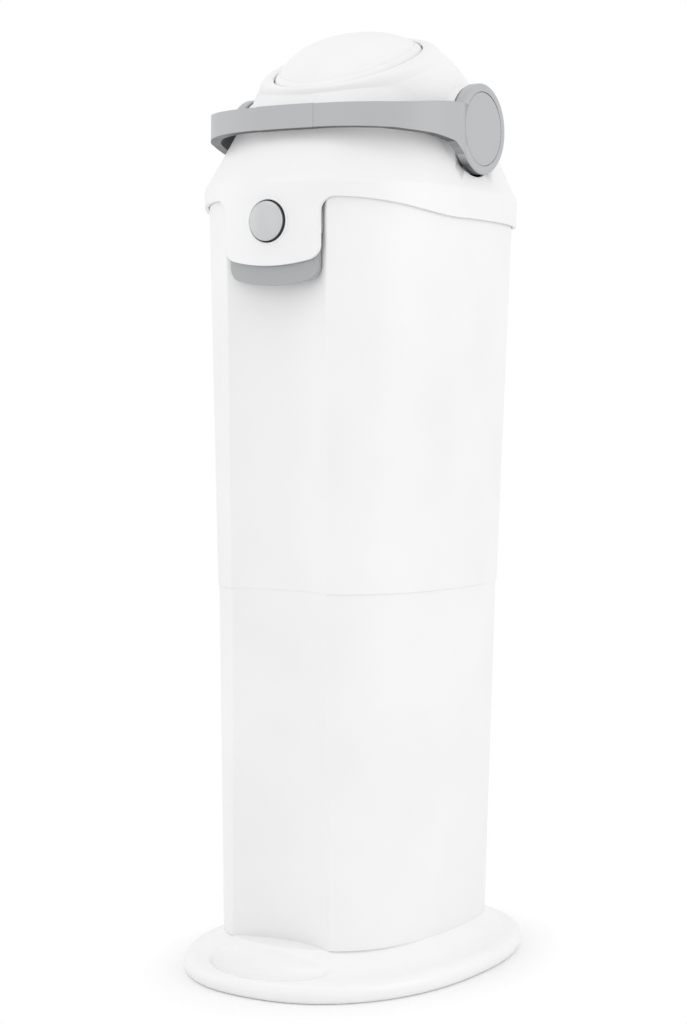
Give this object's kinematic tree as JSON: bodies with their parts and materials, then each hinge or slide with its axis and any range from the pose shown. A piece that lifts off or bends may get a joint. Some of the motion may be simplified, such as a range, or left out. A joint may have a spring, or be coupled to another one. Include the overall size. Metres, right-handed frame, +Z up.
{
  "type": "nappy bin",
  "caption": "Tall oval nappy bin: weighted foot, tapered two-part body, hinged domed head with a turning drum, sliding piston and swing-over handle.",
  "frame": {"origin": "centre of the bounding box at floor level, under the drum axis", "axes": "+Z up, -Y is the front with the button and finger pull, +X is the bin's own left as seen from behind, right as seen from the front"},
  "size_m": [0.2523, 0.3488, 0.809],
  "materials": {
    "white_plastic": "smooth satin moulding",
    "white_head": "smooth satin moulding",
    "inner_plastic": "plain moulding",
    "silver_grey": "silver-grey satin moulding",
    "pull_grey": "grey moulding",
    "dark_plastic": "plain moulding",
    "seal_rubber": "soft seal",
    "pad_rubber": "non-slip",
    "steel": "plain steel"
  },
  "bodies": {
    "bin": {"foot": "white_plastic", "foot_pads": "pad_rubber", "lower_shell": "white_plastic", "upper_shell": "white_plastic", "bag_ring": "inner_plastic", "hinge_bracket": "white_plastic", "hinge_pin": "steel", "hinge_screws": "steel", "catch_plate": "inner_plastic"},
    "head": {"head_housing": "white_head", "chute_deck": "inner_plastic", "chute_seal": "seal_rubber", "rim_seal": "seal_rubber", "bushes": "dark_plastic", "button_cup": "dark_plastic", "button_spring": "steel", "hinge_leaf": "white_head"},
    "drum": {"drum": "white_head", "bore_sleeve": "inner_plastic", "trunnions": "dark_plastic", "handle": "silver_grey", "grip": "silver_grey", "disc_caps": "silver_grey", "handle_screws": "steel"},
    "piston": {"piston": "white_head", "piston_seals": "seal_rubber", "piston_cover": "inner_plastic"},
    "button": {"button": "silver_grey"},
    "finger_pull": {"finger_pull": "pull_grey"}
  },
  "joints": [
    {"name": "head_hinge", "type": "hinge", "parent": "bin", "child": "head", "pos_m": [0, 0.154, 0.637], "axis": [-1, 0, 0], "range_deg": [0, 95]},
    {"name": "handle_swing", "type": "hinge", "parent": "head", "child": "drum", "pos_m": [0, 0, 0.718], "axis": [-1, 0, 0], "range_deg": [0, 172]},
    {"name": "piston_slide", "type": "slide", "parent": "drum", "child": "piston", "axis": [0, -0.4226, 0.9063], "range_m": [-0.12, 0]},
    {"name": "button_press", "type": "slide", "parent": "head", "child": "button", "axis": [0, 1, 0], "range_m": [0, 0.0035], "stiffness_N_per_m": 600, "deforming": ["button_spring"]},
    {"name": "pull_lift", "type": "slide", "parent": "head", "child": "finger_pull", "axis": [0, 0, 1], "range_m": [0, 0.005], "stiffness_N_per_m": 400}
  ]
}
